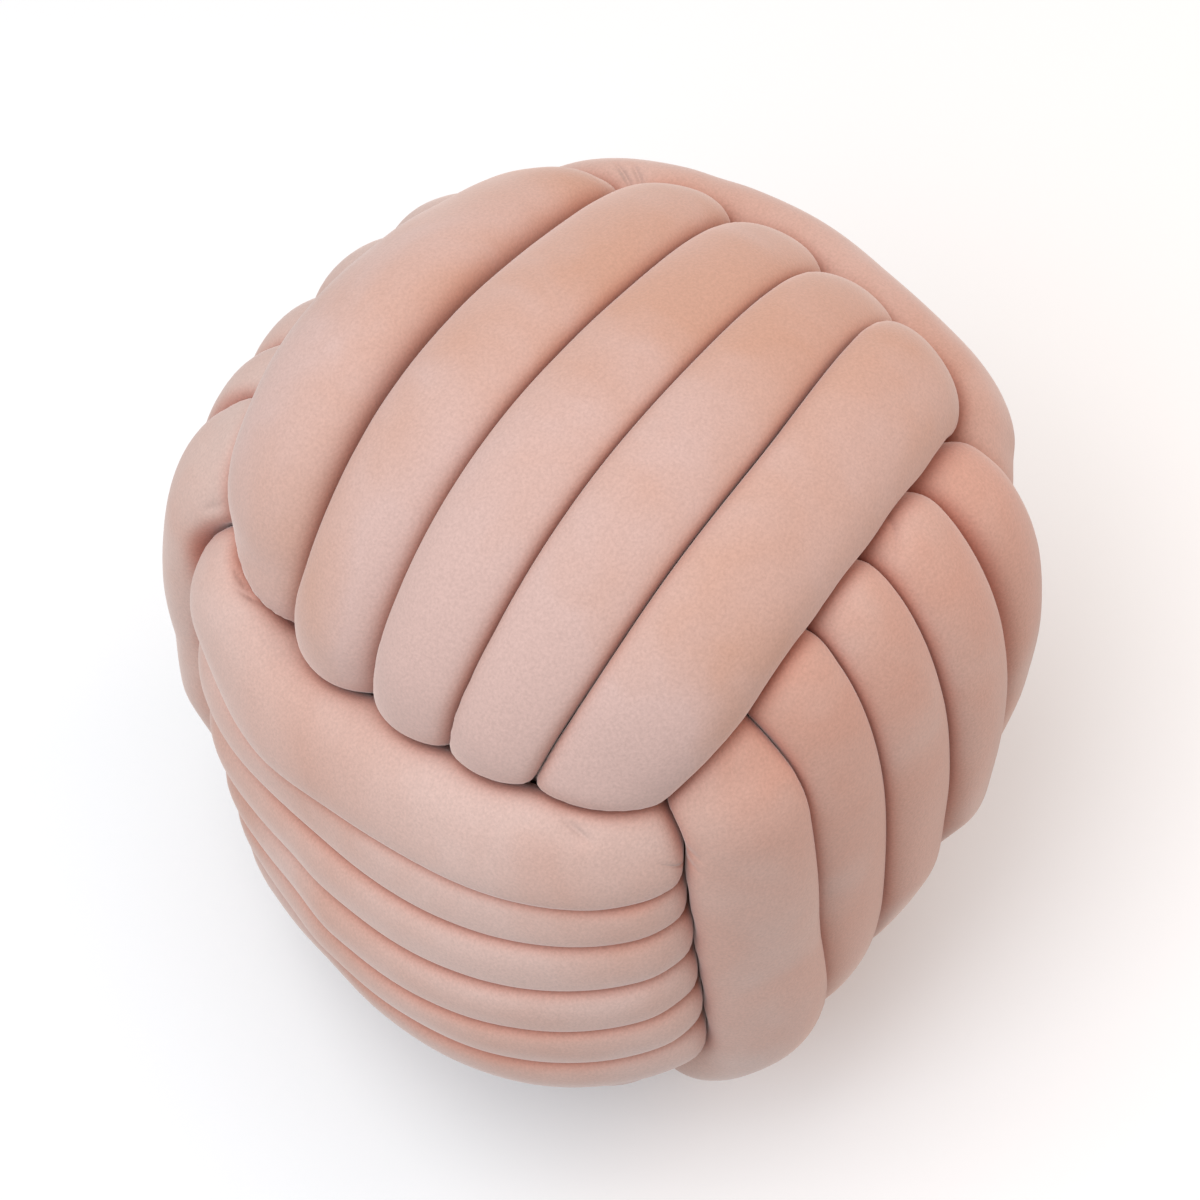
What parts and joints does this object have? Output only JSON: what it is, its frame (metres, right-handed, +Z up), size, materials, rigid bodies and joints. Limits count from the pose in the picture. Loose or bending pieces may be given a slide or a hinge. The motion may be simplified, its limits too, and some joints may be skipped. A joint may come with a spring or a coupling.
{
  "type": "braided pouf",
  "caption": "Ball-shaped floor pouf knotted from fat stuffed velvet tubes that pass over and under each other, used as a low seat, footrest or cushion",
  "frame": {"origin": "under the middle of the pouf's box, on the surface that it rests on", "axes": "+Z up, the longest side of the box; X runs along the crown turns and Y along the waist turns' hidden ends; the crown turns show on top and beneath, the waist turns on the -X and +X sides, the flank turns on the -Y and +Y sides"},
  "size_m": [0.4968, 0.4942, 0.5108],
  "materials": {
    "velvet_crown": "short-pile blush velvet, lit along the nap",
    "velvet_waist": "short-pile blush velvet, lit across the nap",
    "velvet_flank": "short-pile blush velvet, seen against the nap"
  },
  "bodies": {
    "root": {"crown_turn_1": "velvet_crown", "crown_turn_2": "velvet_crown", "crown_turn_3": "velvet_crown", "crown_turn_4": "velvet_crown", "crown_turn_5": "velvet_crown", "waist_turn_1": "velvet_waist", "waist_turn_2": "velvet_waist", "waist_turn_3": "velvet_waist", "waist_turn_4": "velvet_waist", "waist_turn_5": "velvet_waist", "waist_turn_6": "velvet_waist", "flank_turn_1": "velvet_flank", "flank_turn_2": "velvet_flank", "flank_turn_3": "velvet_flank", "flank_turn_4": "velvet_flank", "flank_turn_5": "velvet_flank"}
  },
  "joints": []
}
